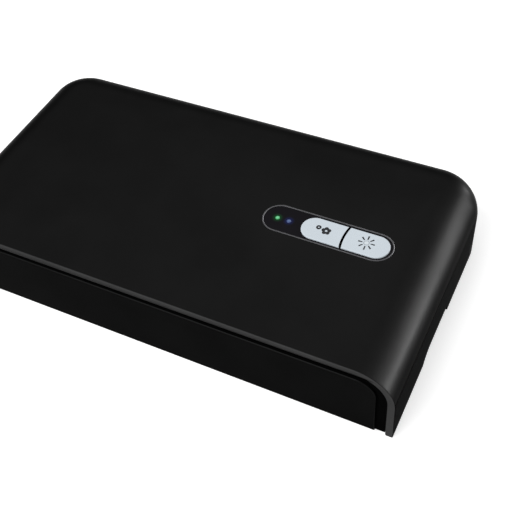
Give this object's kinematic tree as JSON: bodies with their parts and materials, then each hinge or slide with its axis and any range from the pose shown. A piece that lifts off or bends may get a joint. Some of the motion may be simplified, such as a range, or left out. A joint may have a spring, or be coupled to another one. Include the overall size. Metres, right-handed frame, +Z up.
{
  "type": "uv-c sanitizer case",
  "caption": "Low black box whose back-hinged lid shell closes over a reflective chamber, with an oval control pod, press buttons, lit indicators, finger notches and rubber feet.",
  "frame": {"origin": "the middle of the footprint, hinge barrels included, on the surface that the feet stand on", "axes": "+X to the right along the hinge, +Y to the back where the hinge is, +Z up"},
  "size_m": [0.22, 0.1232, 0.0395],
  "materials": {
    "shell_black": "satin black moulding with a soft highlight along its round edges",
    "base_black": "darker matt black moulding",
    "panel_black": "smooth black plate",
    "reflector": "vacuum-metallised plastic, a satin mirror",
    "rubber": "matt black rubber",
    "bezel": "thin bright ring",
    "button_grey": "pale grey with a fine matt grain",
    "green_lens": "lit green lens",
    "blue_lens": "lit blue lens",
    "quartz": "clear quartz",
    "felt": "pressed felt",
    "ceramic": "white ceramic",
    "board": "green solder mask",
    "steel": "plated steel",
    "magnet": "nickel plate",
    "lead": "black insulation",
    "switch": "black moulding"
  },
  "bodies": {
    "base": {"base_shell": "base_black", "front_panel": "panel_black", "chamber_tray": "reflector", "light_seal": "rubber", "rubber_foot_front_left": "rubber", "rubber_foot_back_left": "rubber", "rubber_foot_front_right": "rubber", "rubber_foot_back_right": "rubber", "base_screw_1": "steel", "base_screw_2": "steel", "base_screw_3": "steel", "base_screw_4": "steel", "hinge_pin_left": "steel", "hinge_pin_right": "steel", "base_emitter_board": "board", "base_emitter_1": "ceramic", "base_emitter_2": "ceramic", "base_emitter_3": "ceramic", "base_window": "quartz", "main_board": "board", "usb_socket": "steel", "aroma_cup": "base_black", "aroma_pad": "felt", "aroma_heater": "ceramic", "base_magnet_left": "magnet", "base_magnet_right": "magnet", "lid_sensor": "board", "base_hinge_lead": "lead", "base_emitter_lead": "lead", "heater_lead": "lead", "sensor_lead": "lead"},
    "lid": {"lid_shell": "shell_black", "lid_liner": "reflector", "liner_screw_1": "steel", "liner_screw_2": "steel", "liner_screw_3": "steel", "liner_screw_4": "steel", "lid_emitter_board": "board", "lid_emitter_1": "ceramic", "lid_emitter_2": "ceramic", "lid_emitter_3": "ceramic", "lid_window": "quartz", "lid_magnet_left": "magnet", "lid_magnet_right": "magnet", "control_bezel": "bezel", "control_plate": "panel_black", "control_board": "board", "board_screw_1": "steel", "board_screw_2": "steel", "board_screw_3": "steel", "board_screw_4": "steel", "green_indicator": "green_lens", "blue_indicator": "blue_lens", "aroma_switch": "switch", "sanitize_switch": "switch", "lid_hinge_lead": "lead", "control_lead": "lead"},
    "aroma_button": {"aroma_button": "button_grey"},
    "sanitize_button": {"sanitize_button": "button_grey"}
  },
  "joints": [
    {"name": "lid_hinge", "type": "hinge", "parent": "base", "child": "lid", "pos_m": [0, 0.0584, 0.01], "axis": [-1, 0, 0], "range_deg": [0, 100]},
    {"name": "aroma_button_press", "type": "slide", "parent": "lid", "child": "aroma_button", "axis": [0, 0, -1], "range_m": [0, 0.0005], "stiffness_N_per_m": 400, "springref_m": -0.001},
    {"name": "sanitize_button_press", "type": "slide", "parent": "lid", "child": "sanitize_button", "axis": [0, 0, -1], "range_m": [0, 0.0005], "stiffness_N_per_m": 400, "springref_m": -0.001}
  ]
}
